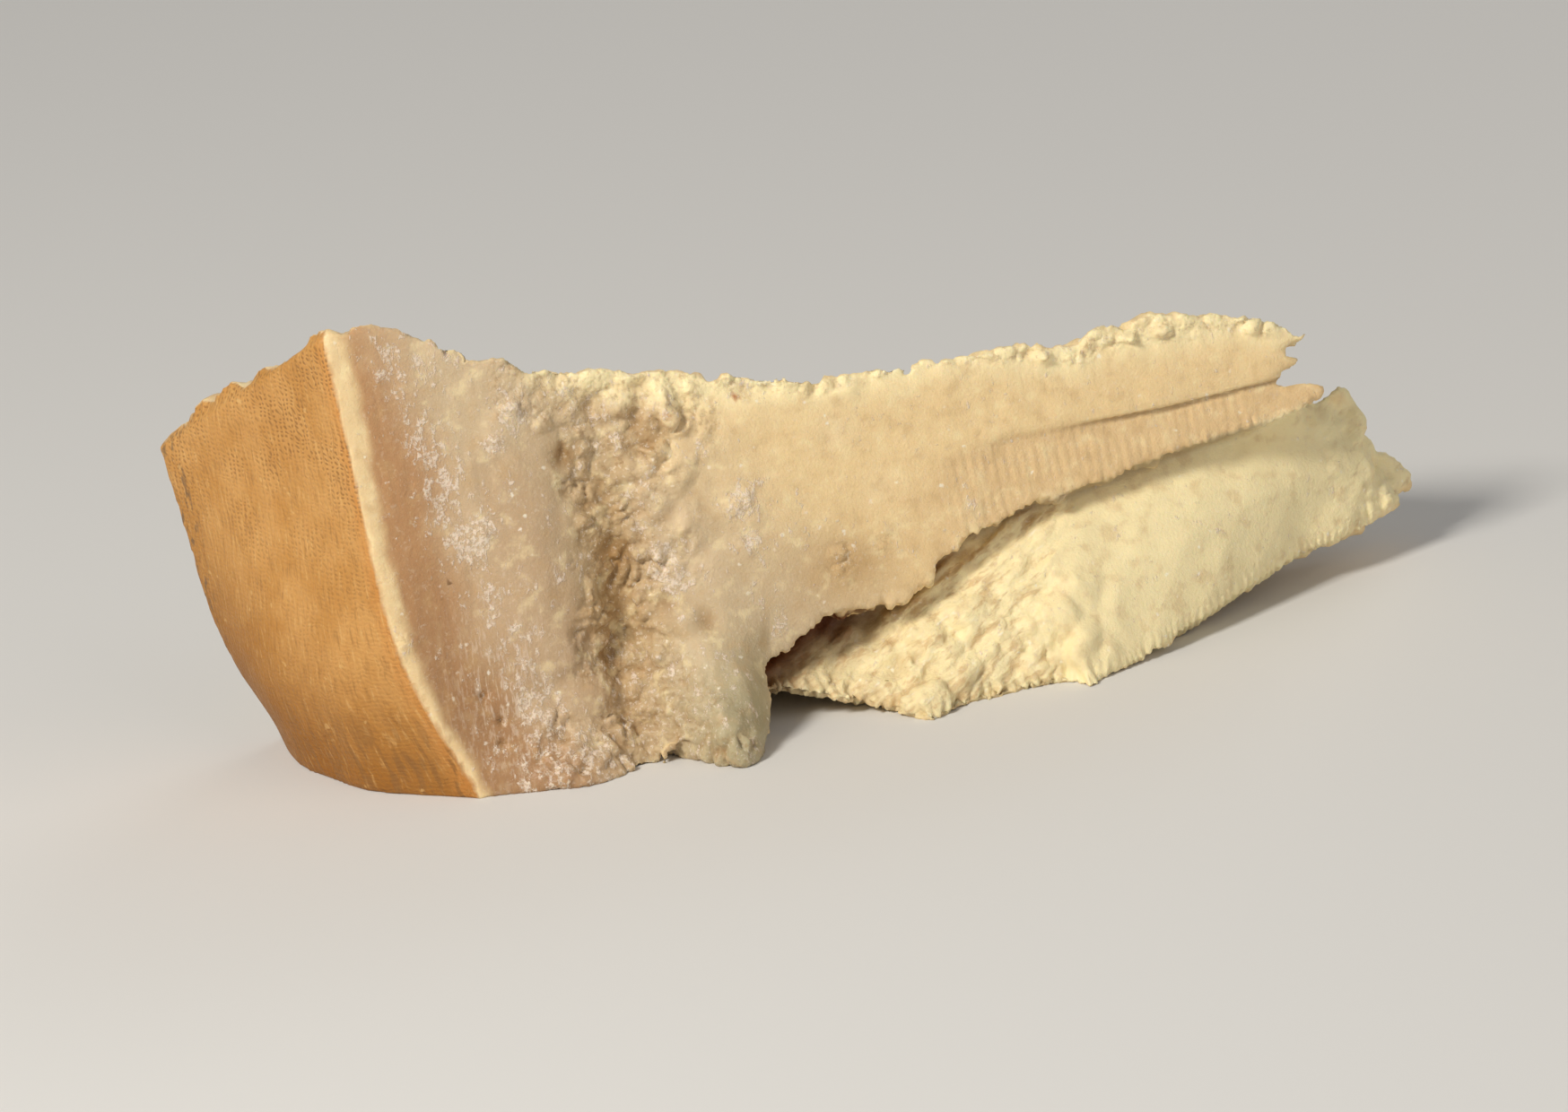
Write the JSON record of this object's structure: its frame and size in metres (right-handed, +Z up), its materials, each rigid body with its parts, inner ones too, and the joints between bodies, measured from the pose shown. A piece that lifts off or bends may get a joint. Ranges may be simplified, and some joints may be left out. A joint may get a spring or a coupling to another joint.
{
  "type": "parmesan wedge",
  "caption": "Rough hewn wedge of hard cheese: rind across the thick end, a knife-cut front, and flakes that thin out to the tip.",
  "frame": {"origin": "middle of the bounding box, on the underside that the wedge stands on", "axes": "+X along the wedge's length from the rind to the thin tip, +Y from the cut front to the broken back, +Z up"},
  "size_m": [0.1682, 0.0604, 0.066],
  "materials": {
    "cheese": "dry crumbly cheese paste with a golden rind at the thick end"
  },
  "bodies": {
    "root": {"cheese_wedge": "cheese"}
  },
  "joints": []
}
